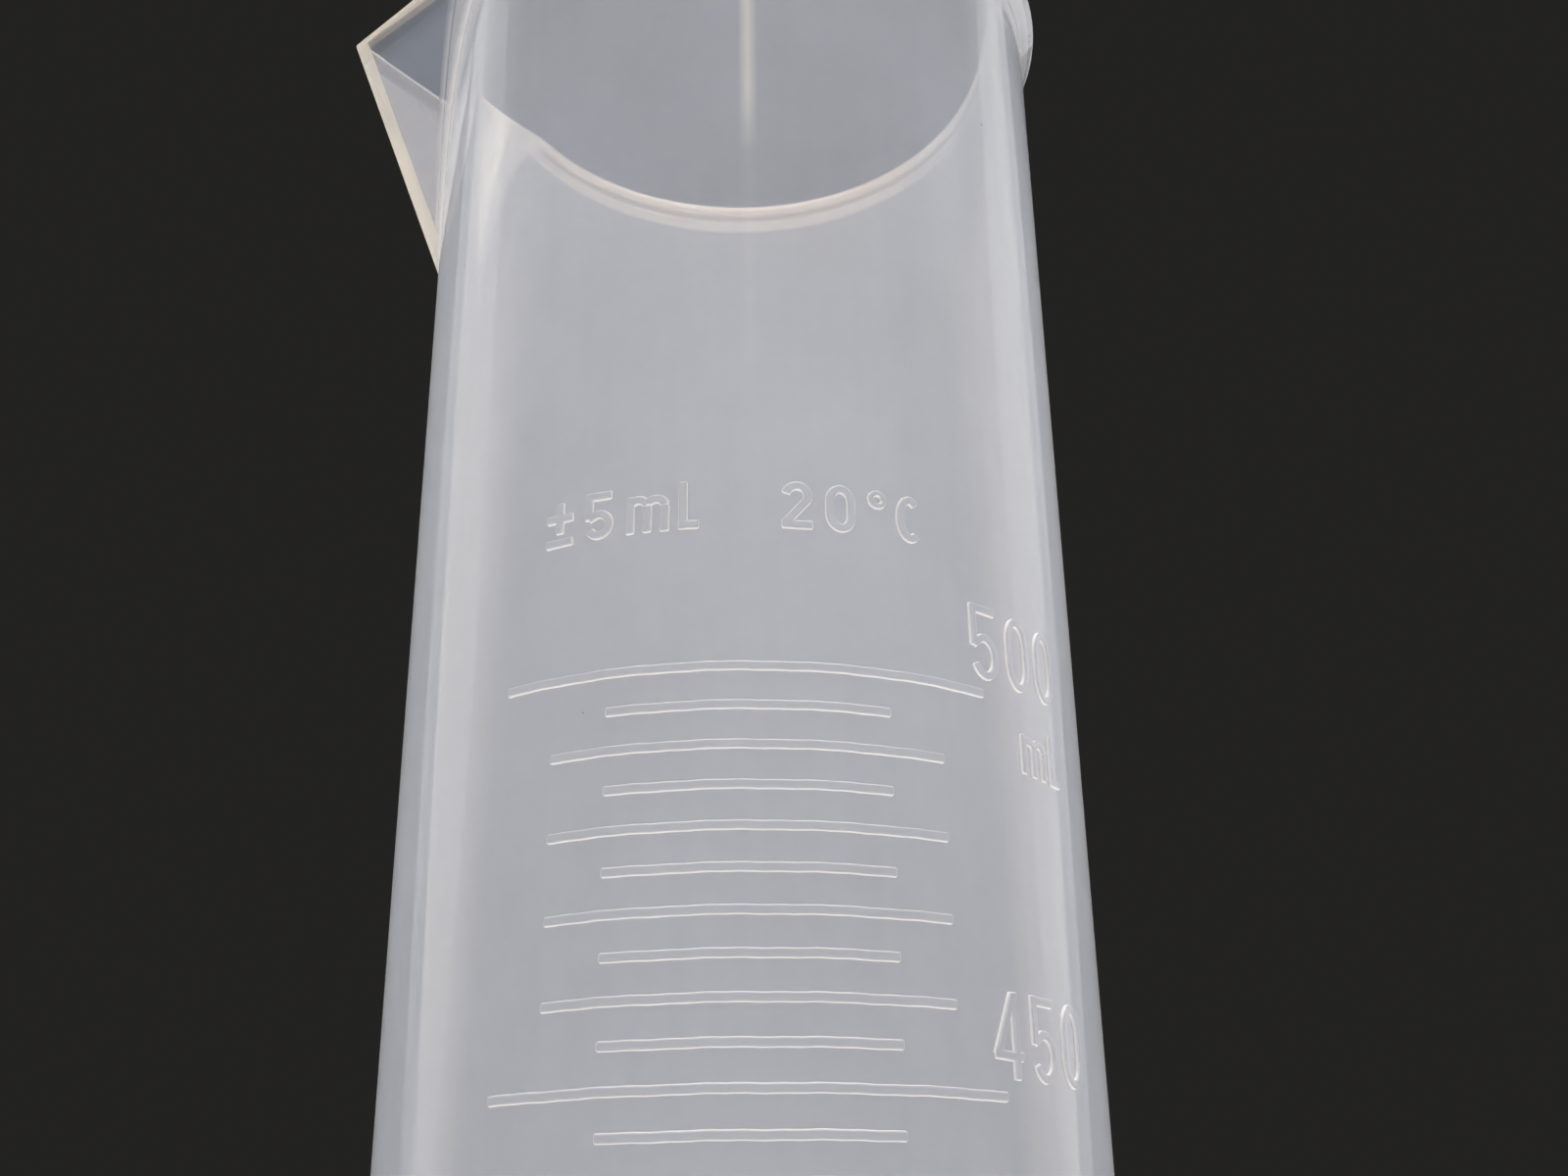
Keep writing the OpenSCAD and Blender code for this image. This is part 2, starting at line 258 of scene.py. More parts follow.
def shoulder(width):
    """Cross-section of a raised stroke: (offset across it, height above the tube)."""
    half = width / 2
    right = [(half + 0.04, -0.5), (half + 0.03, 0.01), (half - 0.01, 0.17)]
    right += [(half - 0.04, 0.24), (half - 0.09, 0.285), (half - 0.16, RELIEF)]
    return right + [(-x, h) for x, h in reversed(right)]


def laid(name, path, width, closed=False):
    """A raised stroke along a path of (distance around the tube, height) points."""
    fine = []
    pairs = list(zip(path, path[1:] + path[:1] if closed else path[1:]))
    for (x0, z0), (x1, z1) in pairs:
        steps = max(1, math.ceil(math.hypot(x1 - x0, z1 - z0) / STROKE_STEP))
        fine += [(x0 + (x1 - x0) * i / steps, z0 + (z1 - z0) * i / steps) for i in range(steps)]
    if not closed:
        fine.append(path[-1])
        first = Vector(fine[1]) - Vector(fine[0])
        last = Vector(fine[-2]) - Vector(fine[-1])
        fine.insert(1, tuple(Vector(fine[0]) + first.normalized() * 0.1))
        fine.insert(-1, tuple(Vector(fine[-1]) + last.normalized() * 0.1))
    # Hand-cut unevenness of the mould, a few hundredths of a millimetre
    phase = len(name) * 1.7 + path[0][1] * 2.3
    wave = [0.02 * math.sin(x * 0.9 + phase) + 0.014 * math.sin(x * 2.7 - phase) for x, z in fine]
    fine = [(x, z + off) for (x, z), off in zip(fine, wave)]
    count = len(fine)
    rings = []
    for i, (x, z) in enumerate(fine):
        before = fine[(i - 1) % count] if closed or i > 0 else fine[0]
        after = fine[(i + 1) % count] if closed or i < count - 1 else fine[-1]
        along = (Vector(after) - Vector(before)).normalized()
        end = not closed and i in (0, count - 1)
        ring = []
        for offset, height in shoulder(width):
            if end:
                offset *= 0.9
                height = height * 0.6 if height > 0 else height
            around = (x - along.y * offset) / tube_r + SCALE_TURN
            r = tube_r + height
            ring.append((r * math.sin(around), -r * math.cos(around), z + along.x * offset))
        rings.append(ring)
    return rings_solid(name, rings, closed)


def glyph(char, w, h):
    """Strokes of a character in a cell w wide and h high, as (points, closed) pairs.

    The numbers are shares of the cell. An "o" is a degree ring and a "+" a plus-minus sign.
    """
    half = STROKE / 2
    if char == "0":
        end = 0.36 * h
        ring = arc(w / 2, h - end, w / 2 - half, end - half, 0, 180, 14)
        ring += arc(w / 2, end, w / 2 - half, end - half, 180, 360, 14)
        return [(ring, True)]
    if char == "1":
        x = 0.62 * w
        return [([(x, 0), (x, h)], False), ([(x, 0.95 * h), (0.14 * w, 0.78 * h)], False)]
    if char == "2":
        rx = w / 2 - half
        ry = 0.3 * h - half
        bow = arc(w / 2, 0.7 * h, rx, ry, 170, -25, 14)
        return [(bow + [(0.3 * STROKE, STROKE * 0.6)], False), ([(0, half), (w, half)], False)]
    if char == "3":
        rx = w / 2 - half
        top = arc(w / 2, 0.75 * h, 0.94 * rx, 0.25 * h - half, 155, -85)
        foot = arc(w / 2, 0.28 * h, rx, 0.28 * h - half, 85, -155)
        return [(top, False), (foot, False)]
    if char == "4":
        bar = 0.27 * h
        post = 0.74 * w
        slope = [(post - 0.2 * STROKE, 0.98 * h), (0.35 * STROKE, bar)]
        return [([(post, 0), (post, h)], False), (slope, False), ([(0, bar), (w, bar)], False)]
    if char == "5":
        bowl = [(half, 0.46 * h), (half + 0.12, 0.47 * h)]
        bowl += arc(w / 2, 0.31 * h, w / 2 - half, 0.31 * h - half, 118, -155, 16)
        top = [(0.5 * half, h - half), (0.94 * w, h - half)]
        return [([(half, 0.43 * h), (half, h)], False), (top, False), (bowl, False)]
    if char == "m":
        pitch = (w - STROKE) / 2
        strokes = [([(half, 0), (half, h)], False)]
        for i in (1, 2):
            x = half + i * pitch
            strokes.append(([(x, 0), (x, 0.72 * h)], False))
            hoop = arc(x - pitch / 2, 0.7 * h, pitch / 2, 0.3 * h - half, 0, 150)
            strokes.append((hoop, False))
        return strokes
    if char == "L":
        return [([(half, 0), (half, h)], False), ([(0, half), (w, half)], False)]
    if char == "C":
        return [(arc(w / 2, h / 2, w / 2 - half, h / 2 - half, 50, 310, 16), False)]
    if char == "o":
        r = 0.14 * h
        return [(arc(0.2 * h, 0.8 * h, r, r, 0, 345, 12), True)]
    bars = [([(0, 0.6 * h), (w, 0.6 * h)], False), ([(w / 2, 0.27 * h), (w / 2, 0.93 * h)], False)]
    return bars + [([(0, half), (w, half)], False)]


LONG_TURN = 37.5
MID_TURN = 29.2
SHORT_TURN = 20.6
marks = []
for ml in range(50, 501, 5):
    half_turn = LONG_TURN if ml % 50 == 0 else MID_TURN if ml % 10 == 0 else SHORT_TURN
    half_line = math.radians(half_turn) * tube_r
    marks.append(laid(f"line_{ml}", [(-half_line, level(ml)), (half_line, level(ml))], LINE_W))


def write(text, x, z, w, h, gap, wide=None):
    """Adds the strokes of a text to the marks, starting at a distance x around the tube."""
    for char in text:
        cell = (wide or {}).get(char, w)
        tall = 0.78 * h if char == "m" else h
        for path, closed in glyph(char, cell, tall):
            weight = STROKE if char != "o" else STROKE * 0.7
            marks.append(laid("stroke", [(x + a, z + b) for a, b in path], weight, closed))
        x += cell + gap


FIGURE_W = 2.7
FIGURE_H = 5.6
FIGURE_GAP = 0.95
figure_x = math.radians(35.5) * tube_r
for ml in range(50, 501, 50):
    write(str(ml), figure_x, level(ml) + 1.1, FIGURE_W, FIGURE_H, FIGURE_GAP)

unit_x = math.radians(45.5) * tube_r
unit_cells = {"m": 3.18, "L": 1.48}
write("mL", unit_x, level(500) - 5, 0, 3.7, 0.67, unit_cells)

NOTE_W = 2.16
NOTE_H = 3.6
NOTE_GAP = 0.94
note_step = NOTE_W + NOTE_GAP
note_x = -4.75 * note_step
note_z = level(500) + 10.1
note_cells = {"m": 3.1, "L": 1.44, "o": 1.44}
write("+5", note_x, note_z, NOTE_W, NOTE_H, NOTE_GAP)
write("mL", note_x + 2 * note_step, note_z, NOTE_W, NOTE_H, 0.65, note_cells)
write("20", note_x + 5.5 * note_step, note_z, NOTE_W, NOTE_H, NOTE_GAP)
write("o", note_x + 7.5 * note_step, note_z, NOTE_W, NOTE_H, 0.9, note_cells)
write("C", note_x + 8.2 * note_step, note_z, NOTE_W, NOTE_H, 0.9)

combine(tube, [spout] + marks, "UNION")
combine(tube, [bore, spout_hollow], "DIFFERENCE")


def shade(piece, bands, angle):
    """Smooth shading, with true radial normals on the round walls named by their radii.

    Each band is a radius and 1 for a wall that faces out or -1 for one that faces in.
    """
    on_wall = 0.008
    upright = 0.98
    mesh = piece.data
    mesh.shade_smooth()
    mesh.set_sharp_from_angle(angle=math.radians(angle))
    count = len(mesh.vertices)
    co = np.empty(count * 3)
    mesh.vertices.foreach_get("co", co)
    co = co.reshape(-1, 3) * 1000
    r = np.hypot(co[:, 0], co[:, 1])
    normals = np.zeros((len(mesh.loops), 3))
    for face in mesh.polygons:
        vs = np.array(face.vertices)
        out = face.normal
        mid = co[vs].mean(0)
        length = math.hypot(mid[0], mid[1]) or 1
        facing = (out.x * mid[0] + out.y * mid[1]) / length
        if abs(facing) < upright:
            continue
        for radius, side in bands:
            if facing * side > 0 and np.abs(r[vs] - radius).max() < on_wall:
                for loop, v in zip(face.loop_indices, vs):
                    normals[loop] = (side * co[v, 0] / r[v], side * co[v, 1] / r[v], 0)
                break
    mesh.normals_split_custom_set(normals.tolist())


shade(tube, [(tube_r, 1), (bore_r, -1), (tube_r + RELIEF, 1)], 32)


def node(tree, kind, **values):
    """A shader node with some of its sockets set, or linked when given another's output."""
    made = tree.nodes.new(kind)
    settings = ("operation", "data_type", "interpolation_type", "clamp_factor", "use_clamp")
    for key, value in values.items():
        if key in settings:
            setattr(made, key, value)
            continue
        by_number = key[0] == "i" and key[1:].isdigit()
        socket = made.inputs[int(key[1:]) if by_number else key.replace("_", " ")]
        if isinstance(value, bpy.types.NodeSocket):
            tree.links.new(value, socket)
        else:
            socket.default_value = value
    return made


def sums(tree):
    """Shorthands for the arithmetic nodes of one material."""

    def plus(a, b):
        return node(tree, "ShaderNodeMath", operation="ADD", i0=a, i1=b).outputs[0]

    def less(a, b):
        return node(tree, "ShaderNodeMath", operation="SUBTRACT", i0=a, i1=b).outputs[0]

    def times(a, b):
        return node(tree, "ShaderNodeMath", operation="MULTIPLY", i0=a, i1=b).outputs[0]

    return plus, less, times


PLASTIC_IOR = 1.49
SPECK = (0.16, 0.12, 0.09, 1)
SHADE_THROUGH = (0.74, 0.745, 0.75, 1)


def milky(name, veil, tint, cream, through, rough, masks):
    """Milky plastic: clear inside, with a white veil on its faces that masks make denser.

    The veil is bluish (tint) and turns cream where the plastic is thick or lies edge on, and where
    the masks paint light: bright bands along the sides and a glow on edges and cuts. Light that
    passes through the clear part is warmed (through).
    """
    material = bpy.data.materials.new(name)
    material.use_nodes = True
    tree = material.node_tree
    tree.nodes.clear()
    plus, less, times = sums(tree)
    place = node(tree, "ShaderNodeTexCoord")
    spot = place.outputs["Object"]
    split = node(tree, "ShaderNodeSeparateXYZ", Vector=spot)
    flat = node(tree, "ShaderNodeVectorMath", operation="MULTIPLY", i0=spot, i1=(1, 1, 0))
    radius = node(tree, "ShaderNodeVectorMath", operation="LENGTH", i0=flat.outputs[0])
    radius = radius.outputs["Value"]
    dense, warm, fringe = masks(tree, place, radius, split.outputs["Z"], split)

    # The veil gathers along the sides, where the outer wall is seen at a slant. On the bore's faces
    # the
    # slant is painted light: a painted bright band near the edge, with a painted darker band just
    # inside it. All of it is weaker towards the rim
    grazing = node(tree, "ShaderNodeLayerWeight", Blend=0.5).outputs["Facing"]
    outer_rise = node(tree, "ShaderNodeMath", operation="POWER", i0=grazing, i1=4.0)
    outer_rise = times(outer_rise.outputs[0], 0.4)
    painted_dark_band = node(tree, "ShaderNodeMapRange", interpolation_type="SMOOTHSTEP", Value=grazing,
               From_Min=0.22, From_Max=0.38, To_Min=0.0, To_Max=-0.045)
    bore_painted_band = node(tree, "ShaderNodeMapRange", interpolation_type="SMOOTHSTEP", Value=grazing,
                     From_Min=0.42, From_Max=0.6, To_Min=0.0, To_Max=0.44)
    bore_painted_band = plus(bore_painted_band.outputs[0], painted_dark_band.outputs[0])
    bore_part = node(tree, "ShaderNodeMath", operation="LESS_THAN", i0=radius,
                     i1=(bore_r + 0.2) / 1000)
    slant_veil_and_painted_band = node(tree, "ShaderNodeMix", data_type="FLOAT", Factor=bore_part.outputs[0],
                i2=outer_rise, i3=bore_painted_band)
    slant_veil_and_painted_band = times(slant_veil_and_painted_band.outputs[0], fringe)

    # Slow clouds in the plastic and faint flow lines drawn out along the mould
    cloud = node(tree, "ShaderNodeTexNoise", Vector=spot, Scale=42, Detail=5, Roughness=0.62)
    drift = node(tree, "ShaderNodeMapRange", Value=cloud.outputs["Fac"],
                 From_Min=0.3, From_Max=0.7, To_Min=-0.02, To_Max=0.02)
    drawn = node(tree, "ShaderNodeVectorMath", operation="MULTIPLY", i0=spot, i1=(1, 1, 0.05))
    streak = node(tree, "ShaderNodeTexNoise", Vector=drawn.outputs[0], Scale=260, Detail=2,
                  Roughness=0.6)
    flow = node(tree, "ShaderNodeMapRange", Value=streak.outputs["Fac"],
                From_Min=0.35, From_Max=0.65, To_Min=-0.005, To_Max=0.005)
    base = plus(plus(plus(slant_veil_and_painted_band, veil), drift.outputs[0]), flow.outputs[0])
    weight = node(tree, "ShaderNodeMath", operation="ADD", use_clamp=True, i0=base, i1=dense)

    # Rare dark specks
    grain = node(tree, "ShaderNodeTexVoronoi", Vector=spot, Scale=420)
    near = node(tree, "ShaderNodeMath", operation="LESS_THAN",
                i0=grain.outputs["Distance"], i1=0.045)
    pick = node(tree, "ShaderNodeSeparateColor", Color=grain.outputs["Color"])
    rare = node(tree, "ShaderNodeMath", operation="GREATER_THAN", i0=pick.outputs[0], i1=0.975)
    speck = times(near.outputs[0], rare.outputs[0])
    weight = node(tree, "ShaderNodeMath", operation="ADD", use_clamp=True,
                  i0=weight.outputs[0], i1=speck).outputs[0]

    # The painted bright bands, like the veil seen at a slant, also turn the veil cream
    colour = node(tree, "ShaderNodeMix", data_type="RGBA", clamp_factor=False,
                  Factor=plus(slant_veil_and_painted_band, warm), i6=tint, i7=cream)
    colour = node(tree, "ShaderNodeMix", data_type="RGBA", Factor=speck,
                  i6=colour.outputs[2], i7=SPECK).outputs[2]

    clear = node(tree, "ShaderNodeBsdfPrincipled", Base_Color=through, Roughness=rough,
                 IOR=PLASTIC_IOR, Transmission_Weight=1.0)
    white = node(tree, "ShaderNodeBsdfPrincipled", Base_Color=colour, Roughness=rough,
                 IOR=PLASTIC_IOR)
    skin = node(tree, "ShaderNodeMixShader", Fac=weight, i1=clear.outputs[0], i2=white.outputs[0])
    glow = node(tree, "ShaderNodeBsdfTranslucent", Color=colour)
    body = node(tree, "ShaderNodeMixShader", Fac=times(weight, 0.5),
                i1=skin.outputs[0], i2=glow.outputs[0])
    pane = node(tree, "ShaderNodeBsdfTransparent", Color=SHADE_THROUGH)
    path = node(tree, "ShaderNodeLightPath")
    lit = node(tree, "ShaderNodeMixShader", Fac=path.outputs["Is Shadow Ray"],
               i1=body.outputs[0], i2=pane.outputs[0])
    node(tree, "ShaderNodeOutputMaterial", Surface=lit.outputs[0])
    return material


EDGE_GLOW_VEIL = 0.18
MARK_FLANK_HIGHLIGHT_VEIL = 0.4
BEAD_GLOW_VEIL = 0.08
CORNER_GLOW_VEIL = 0.32
CUT_GLOW_VEIL = 0.3
HIGHLIGHT_STREAK_VEIL = 0.15
HIGHLIGHT_STREAK_X = -0.8


def tube_masks(tree, place, radius, height, split):
    """Where the tube's veil is denser, where it is warmer, and its share along the sides."""
    plus, less, times = sums(tree)
    mm = 0.001
    bead_r = tube_r + BEAD_OUT

    def ramp(value, low, high, start=0.0, end=1.0):
        return node(tree, "ShaderNodeMapRange", Value=value, From_Min=low, From_Max=high,
                    To_Min=start, To_Max=end).outputs[0]

    def span(value, low, high, start=0.0, end=1.0):
        """A ramp between two places given in millimetres."""
        return ramp(value, low * mm, high * mm, start, end)

    def most(a, b):
        return node(tree, "ShaderNodeMath", operation="MAXIMUM", i0=a, i1=b).outputs[0]

    def size(a):
        return node(tree, "ShaderNodeMath", operation="ABSOLUTE", i0=a).outputs[0]

    across = split.outputs["X"]
    inward = split.outputs["Y"]
    sideways = size(across)
    facing = node(tree, "ShaderNodeSeparateXYZ", Vector=place.outputs["Normal"])

    # Flanks of the raised marks, painted whiter and cream as a highlight where light scatters out at
    # the strokes' edges
    mark_in = span(radius, tube_r + 0.015, tube_r + 0.06)
    mark_out = span(radius, tube_r + 0.17, tube_r + 0.26, 1.0, 0.08)
    below = span(height, rim_z - 36, rim_z - 35, 1.0, 0.0)
    mark = times(times(mark_in, mark_out), below)

    # Outer face of the rim bead, away from the spout. It gets a painted glow, a denser veil, and the
    # rim ring is painted cream, as from light piped along the rim
    outer = span(radius, tube_r + 0.03, tube_r + 0.12)
    bead_part = span(height, bead_low - 0.1, bead_low + 0.1)
    bead_top = span(height, rim_z - 1.1, rim_z - 0.8, 1.0, 0.3)
    ring_only = span(radius, bead_r + 0.02, bead_r + 0.1, 1.0, 0.0)
    away = span(plus(times(across, math.tan(SPREAD)), size(inward)), 0.3, 1.2)
    bead = times(times(times(outer, bead_part), times(ring_only, away)), bead_top)
    bead = times(bead, span(sideways, 19, 25, 1.0, 0.15))
    rim_ring_glow = times(bead_part, span(sideways, 19, 25, 1.0, 0.0))
    rim_ring_glow = times(rim_ring_glow, span(radius, bead_r, bead_r + 0.2, 1.0, 0.0))

    # Spout and its side of the tube
    left = span(across, -21, -20, 1.0, 0.0)
    spout_part = span(height, rim_z - 29, rim_z - 28)
    spout_side = times(left, spout_part)
    outside = span(radius, tube_r + 0.1, tube_r + 0.4)

    # Top faces of the rim and of the spout's lips: thick plastic seen edge on, with a painted glow
    # of light piped through the wall. The glow is painted weaker on the lip of the spout's back
    # flank, which looks thinner
    crest = times(span(height, rim_z - 0.5, rim_z - 0.25), 0.6)
    lip = times(ramp(facing.outputs["Z"], 0.3, 0.85), span(height, rim_z - 1.2, rim_z - 0.7))
    brim = span(height, rim_z - 0.75, rim_z - 0.55)
    brim = times(brim, span(radius, bead_r, bead_r + 0.2))
    back_lip = times(span(inward, -0.5, 3, 0.0, 0.9), left)
    lips = times(most(most(lip, crest), brim), less(1.0, back_lip))
    lips = times(lips, span(radius, bead_r, bead_r + 0.3, 0.25, 1.0))

    # The keel: points within a little of the spout's sloping lower edge, painted with the same glow
    apex = span(height, rim_z - 2 * SPOUT_DROP, rim_z, (tube_r - reach) * mm, (tube_r + reach) * mm)
    close = span(plus(apex, across), 1.2, 1.36, 1.0, 0.0)
    keel = times(times(close, outside), spout_side)
    edge = most(lips, keel)

    # The thick corner where the spout's flanks run into the round wall, painted with a denser, cream
    # glow of light piped through the wall
    corner_in = span(radius, tube_r + 0.01, tube_r + 0.08)
    corner_out = span(radius, tube_r + 0.15, tube_r + 0.6, 1.0, 0.0)
    corner = times(times(corner_in, corner_out), spout_side)

    # The faces that the spout's hollow leaves across the tube's wall, painted with a denser, cream
    # glow of light piped through the wall and out there
    cut_in = span(radius, bore_r + 0.1, bore_r + 0.3)
    cut_out = span(radius, tube_r - 0.15, tube_r - 0.05, 1.0, 0.0)
    cut_low = span(height, rim_z - 0.9, rim_z - 0.5, 1.0, 0.0)
    cut_side = times(span(across, -17.5, -16.5, 1.0, 0.0), spout_part)
    cut = times(times(times(cut_in, cut_out), cut_low), cut_side)

    # A painted highlight streak down the front, denser and cream, fading below the rim
    front = span(inward, -20, -19, 1.0, 0.0)
    thin = span(size(less(across, HIGHLIGHT_STREAK_X * mm)), 0.05, 0.75, 1.0, 0.0)
    fade = span(height, rim_z - 31, rim_z - 25, 0.1, 1.0)
    fade = times(fade, span(height, rim_z - 55, rim_z - 38))
    highlight_streak = times(times(times(thin, fade), front), HIGHLIGHT_STREAK_VEIL)

    # Most of the denser veil is painted light: the glow on edges, bead, corner and cuts, the whiter
    # mark flanks and the highlight streak
    dense = most(times(edge, EDGE_GLOW_VEIL), times(mark, MARK_FLANK_HIGHLIGHT_VEIL))
    dense = most(dense, times(bead, BEAD_GLOW_VEIL))
    dense = most(dense, times(corner, CORNER_GLOW_VEIL))
    dense = most(dense, most(highlight_streak, times(cut, CUT_GLOW_VEIL)))

    # The spout's walls and the bead's ends are thinner than the tube's wall, so they are clearer.
    # The front flank is painted clearer than the back one, a painted difference of light between the
    # sides
    flank = times(outside, spout_side)
    sheer_and_side_shade = times(flank, span(inward, -1, 1, 0.09, 0.035))
    ends = times(times(outer, bead_part), span(sideways, 19, 25))
    dense = less(dense, most(sheer_and_side_shade, times(ends, 0.13)))

    # Edges, marks, the corner and cuts are cream with their painted glow and highlights, and the
    # highlight streak too. The spout's front flank is painted cooler than its back one, a painted
    # difference of light between the two sides
    painted_side_tone = times(flank, span(inward, -1, 1, -0.3, 0.3))
    warm = most(most(edge, rim_ring_glow), most(times(most(mark, corner), 0.6), times(cut, 0.4)))
    warm = most(warm, times(highlight_streak, 3.5))
    warm = plus(warm, times(painted_side_tone, less(1.0, edge)))
    # How much of the slant veil and the painted bright bands stays, weaker towards the rim
    fringe = span(height, rim_z - 34, rim_z - 12, 1.0, 0.25)
    return dense, warm, fringe


tube_plastic = milky("tube_plastic", veil=0.223, tint=(0.817, 0.875, 1.0, 1),
                     cream=(0.975, 0.91, 0.81, 1), through=(0.935, 0.87, 0.80, 1),
                     rough=0.035, masks=tube_masks)
tube.data.materials.clear()
tube.data.materials.append(tube_plastic)
for face in tube.data.polygons:
    face.material_index = 0
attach(tube, "root")
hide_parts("tube")


# ---- Hexagonal foot ----
# The stand: a separate moulding in a denser grade of the same plastic, hollow underneath with
# six ribs. Its collar grips the tube's lower end with a ridge that snaps into the groove.
foot_low, foot_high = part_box("foot")
foot_across = (foot_high.y - foot_low.y) * 1000
foot_reach = foot_high.x * 1000
collar_z = foot_high.z * 1000

CORNER = 8.3
FOOT_WALL = 2.4
SLOPE = math.radians(11)
SKIRT = 7
DECK_EDGE = 0.9
SOCKET_GAP = 0.15
COLLAR_WALL = 2.6
COLLAR_LIP = 1.04
BLEND = 5
SHELF = 3
DRAIN_R = 10
socket_r = tube_r + SOCKET_GAP
collar_r = socket_r + COLLAR_WALL


def deck(r):
    """Height of the sloping deck at a distance from the axis."""
    return SKIRT + (foot_reach - r) * math.tan(SLOPE)


def hexagon(across, corner):
    """Points around a hexagon with round corners, its flats facing -Y and +Y."""
    out = (across / 2 - corner) / math.cos(math.radians(30))
    flat_steps = 22
    bends = []
    for turn in range(0, 360, 60):
        x = out * math.cos(math.radians(turn))
        y = out * math.sin(math.radians(turn))
        bends.append(arc(x, y, corner, corner, turn - 30, turn + 30, 12))
    ring = []
    for bend, following in zip(bends, bends[1:] + bends[:1]):
        ring += bend
        x, y = bend[-1]
        dx = following[0][0] - x
        dy = following[0][1] - y
        ring += [(x + dx * i / flat_steps, y + dy * i / flat_steps) for i in range(1, flat_steps)]
    return ring


# The section of the collar, its socket with the catch ridge, and the shelf with its drain hole
under = FOOT_WALL / math.cos(SLOPE)
blend_r = collar_r + BLEND
blend_z = deck(blend_r) + BLEND / math.cos(SLOPE)
blend_turn = 270 - math.degrees(SLOPE)
blend_foot = blend_r + BLEND * math.cos(math.radians(blend_turn))
lip_r = collar_r - COLLAR_LIP
lip_z = collar_z - COLLAR_LIP
ridge_r = socket_r - GROOVE_DEPTH
shelf_z = seat_z - 0.02
shelf_low = seat_z - SHELF
core = arc(blend_r, blend_z, BLEND, BLEND, blend_turn, 180, 12)
core += arc(lip_r, lip_z, COLLAR_LIP, COLLAR_LIP, 0, 90, 8)
core += [(socket_r + 0.91, collar_z), (socket_r + 0.3, collar_z - 0.45)]
core += [(socket_r, collar_z - 0.91), (socket_r, groove_z + 1.638)]
core += [(ridge_r, groove_z + 0.938), (ridge_r, groove_z - 0.938), (socket_r, groove_z - 1.638)]
core += [(socket_r, shelf_z), (20, shelf_z), (DRAIN_R, shelf_z)]
core += [(DRAIN_R, shelf_low), (20, shelf_low), (socket_r, shelf_low), (socket_r, 1)]
core += [(collar_r, 1), (collar_r, deck(collar_r) - under)]

# One section for each point around the hexagon: skirt, deck, core and underside
outer = hexagon(foot_across, CORNER)
inner = hexagon(foot_across - 2 * FOOT_WALL, CORNER - FOOT_WALL)
columns = []
for (ox, oy), (ix, iy) in zip(outer, inner):
    ro = math.hypot(ox, oy)
    ri = math.hypot(ix, iy)
    turn = math.atan2(oy, ox)
    turn_in = math.atan2(iy, ix)
    edge_r = ro - DECK_EDGE
    edge_z = deck(ro) - DECK_EDGE
    shell = [(ro - 0.5, 0), (ro - 0.12, 0.12), (ro, 0.5), (ro, edge_z)]
    shell += arc(edge_r, edge_z, DECK_EDGE, DECK_EDGE, 12, 79, 6)
    shell[-1] = (shell[-1][0], deck(shell[-1][0]))
    deck_r = ro - DECK_EDGE * 0.9
    for i in range(1, 10):
        r = deck_r + (blend_foot - deck_r) * i / 10
        shell.append((r, deck(r)))
    shell += core
    column = [(r * math.cos(turn), r * math.sin(turn), z) for r, z in shell]
    for i in range(1, 10):
        r = collar_r + (ri - collar_r) * i / 10
        mix = turn + (turn_in - turn) * i / 10
        column.append((r * math.cos(mix), r * math.sin(mix), deck(r) - under))
    column += [(ix, iy, deck(ri) - under), (ix, iy, 0.3)]
    column.append((ix * (1 + 0.3 / ri), iy * (1 + 0.3 / ri), 0))
    columns.append(column)
foot = rings_solid("hexagonal_foot", columns, True)

RIB_HALF = 1.0
RIB_LOW = 1
RIB_CHAMFER = 0.3
ribs = []
for k in range(6):
    spin = Matrix.Rotation(math.radians(60 * k), 3, "Z")
    section = []
    for x in (collar_r - 1, foot_reach - 3.2):
        top = deck(x) - 1.2
        ring = [(x, -RIB_HALF, RIB_LOW + RIB_CHAMFER), (x, -RIB_HALF + RIB_CHAMFER, RIB_LOW)]
        ring += [(x, RIB_HALF - RIB_CHAMFER, RIB_LOW), (x, RIB_HALF, RIB_LOW + RIB_CHAMFER)]
        ring += [(x, RIB_HALF, top), (x, -RIB_HALF, top)]
        section.append([tuple(spin @ Vector(p)) for p in ring])
    ribs.append(rings_solid("rib", section))
combine(foot, ribs, "UNION")
shade(foot, [(socket_r, -1), (collar_r, 1)], 30)


def foot_masks(tree, place, radius, height, split):
    """The foot's veil is denser and warmer on the collar's lip."""
    lip = node(tree, "ShaderNodeMapRange", Value=height, From_Min=(collar_z - 1.2) / 1000,
               From_Max=(collar_z - 0.4) / 1000, To_Min=0, To_Max=0.2)
    warm = node(tree, "ShaderNodeMath", operation="MULTIPLY", i0=lip.outputs[0], i1=2.0)
    return lip.outputs[0], warm.outputs[0], 1.0


foot_plastic = milky("foot_plastic", veil=0.5, tint=(0.90, 0.91, 0.92, 1),
                     cream=(0.95, 0.93, 0.87, 1), through=(0.92, 0.91, 0.90, 1),
                     rough=0.12, masks=foot_masks)
foot.data.materials.clear()
foot.data.materials.append(foot_plastic)
for face in foot.data.polygons:
    face.material_index = 0
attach(foot, "root")
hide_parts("foot")


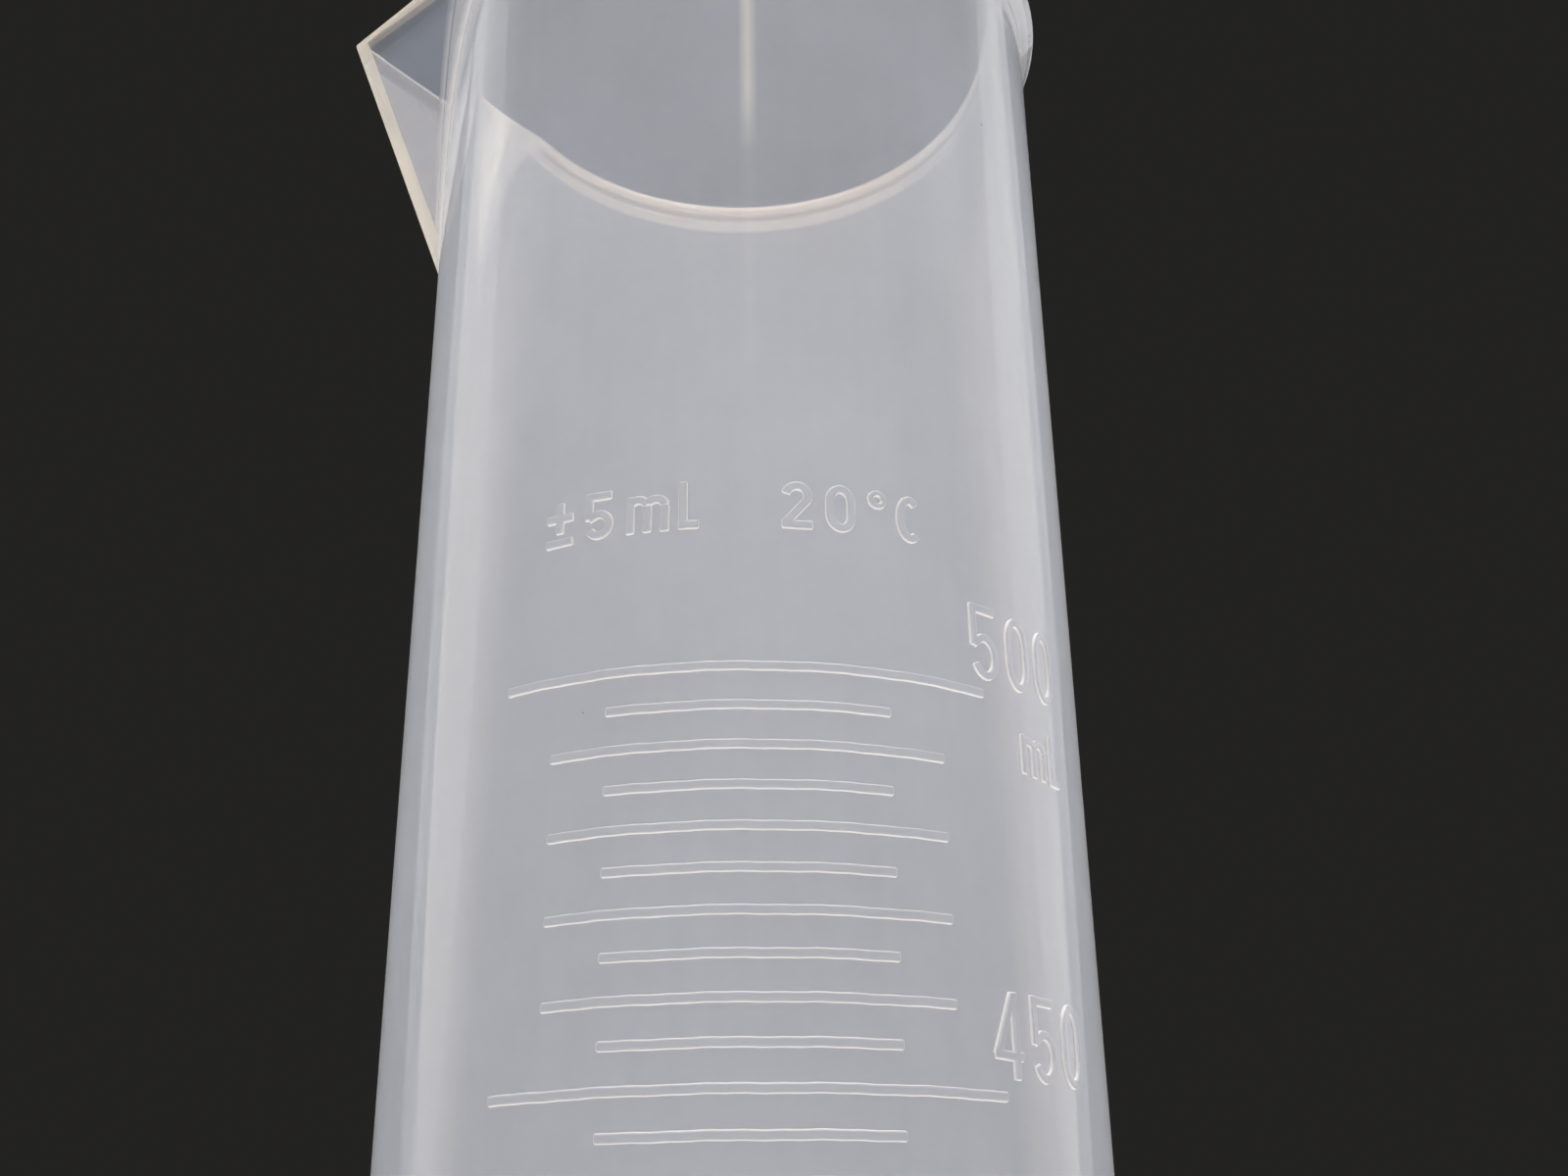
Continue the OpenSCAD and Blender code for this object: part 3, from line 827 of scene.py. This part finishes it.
# ---- Floor ----
# The table that the foot stands on: one wide, flat sheet with a plain pale matte coat. It isn't
# part of the object.
FLOOR_HALF = 9000
floor_corners = [(-FLOOR_HALF, -FLOOR_HALF, 0), (FLOOR_HALF, -FLOOR_HALF, 0)]
floor_corners += [(FLOOR_HALF, FLOOR_HALF, 0), (-FLOOR_HALF, FLOOR_HALF, 0)]
floor = solid("floor", floor_corners, [(0, 1, 2, 3)])
pale = bpy.data.materials.new("floor")
pale.use_nodes = True
pale_skin = pale.node_tree.nodes["Principled BSDF"]
pale_skin.inputs["Base Color"].default_value = (0.56, 0.55, 0.54, 1)
pale_skin.inputs["Roughness"].default_value = 0.8
floor.data.materials.append(pale)


# ---- Light ----
# Soft studio light. A white surround lights the object, and a plain charcoal backdrop is what
# shows behind it and through it. A round lamp hangs over the mouth and two large soft lamps
# stand behind, left and right.
world = bpy.data.worlds.new("studio")
scene.world = world
world.use_nodes = True
tree = world.node_tree
tree.nodes.clear()
path = node(tree, "ShaderNodeLightPath")
seen = node(tree, "ShaderNodeMath", operation="ADD", use_clamp=True,
            i0=path.outputs["Is Camera Ray"], i1=path.outputs["Is Glossy Ray"])
seen = node(tree, "ShaderNodeMath", operation="ADD", use_clamp=True,
            i0=seen.outputs[0], i1=path.outputs["Is Transmission Ray"])
surround = node(tree, "ShaderNodeBackground", Color=(1.0, 0.99, 0.975, 1), Strength=0.86)
backdrop = node(tree, "ShaderNodeBackground", Color=(0.0171, 0.0165, 0.016, 1), Strength=1.0)
air = node(tree, "ShaderNodeMixShader", Fac=seen.outputs[0],
           i1=surround.outputs[0], i2=backdrop.outputs[0])
node(tree, "ShaderNodeOutputWorld", Surface=air.outputs[0])


def lamp(name, place, aim, size, power, colour):
    """A soft oval lamp at a place, turned to what it is aimed at."""
    data = bpy.data.lights.new(name, "AREA")
    data.shape = "ELLIPSE"
    data.size = size[0]
    data.size_y = size[1]
    data.energy = power
    data.color = colour
    made = bpy.data.objects.new(name, data)
    made.location = place
    made.rotation_euler = (Vector(aim) - Vector(place)).to_track_quat("-Z", "Y").to_euler()
    scene.collection.objects.link(made)
    return made


SIDE_AIM = (0, 0, 0.28)
SIDE_SIZE = (0.7, 1.3)
SIDE_POWER = 1.3
overhead = lamp("overhead_lamp", (0.02, -0.13, 1.0), (0, 0, 0.25), (0.8, 0.8), 9.4,
                (1.0, 0.95, 0.88))
overhead.visible_transmission = False
lamp("left_lamp", (-1.1, 0.55, 0.8), SIDE_AIM, SIDE_SIZE, SIDE_POWER, (1.0, 0.99, 0.97))
lamp("right_lamp", (1.1, 0.55, 0.8), SIDE_AIM, SIDE_SIZE, SIDE_POWER, (0.98, 0.99, 1.0))


# ---- Camera ----
# Held close in front of the scale and below the rim, looking up, turned a little to the right
# and nearly level.
YAW = math.radians(4.713)
PITCH = math.radians(23.311)
ROLL = math.radians(-0.878)
LENS = 40.35
SENSOR = 36
BELOW_TOP_LINE = 0.04139
forward = Vector((math.sin(YAW) * math.cos(PITCH), math.cos(YAW) * math.cos(PITCH), math.sin(PITCH)))
right = Vector((math.cos(YAW), -math.sin(YAW), 0))
up = right.cross(forward)
across = right * math.cos(ROLL) + up * math.sin(ROLL)
above = -right * math.sin(ROLL) + up * math.cos(ROLL)
lens = bpy.data.cameras.new("camera")
lens.lens = LENS
lens.sensor_width = SENSOR
lens.clip_start = 0.005
camera = bpy.data.objects.new("camera", lens)
turned = Matrix((across, above, -forward)).transposed().to_4x4()
stand = Vector((-0.00757, -0.13561, level(500) / 1000 - BELOW_TOP_LINE))
camera.matrix_world = Matrix.Translation(stand) @ turned
scene.collection.objects.link(camera)
scene.camera = camera
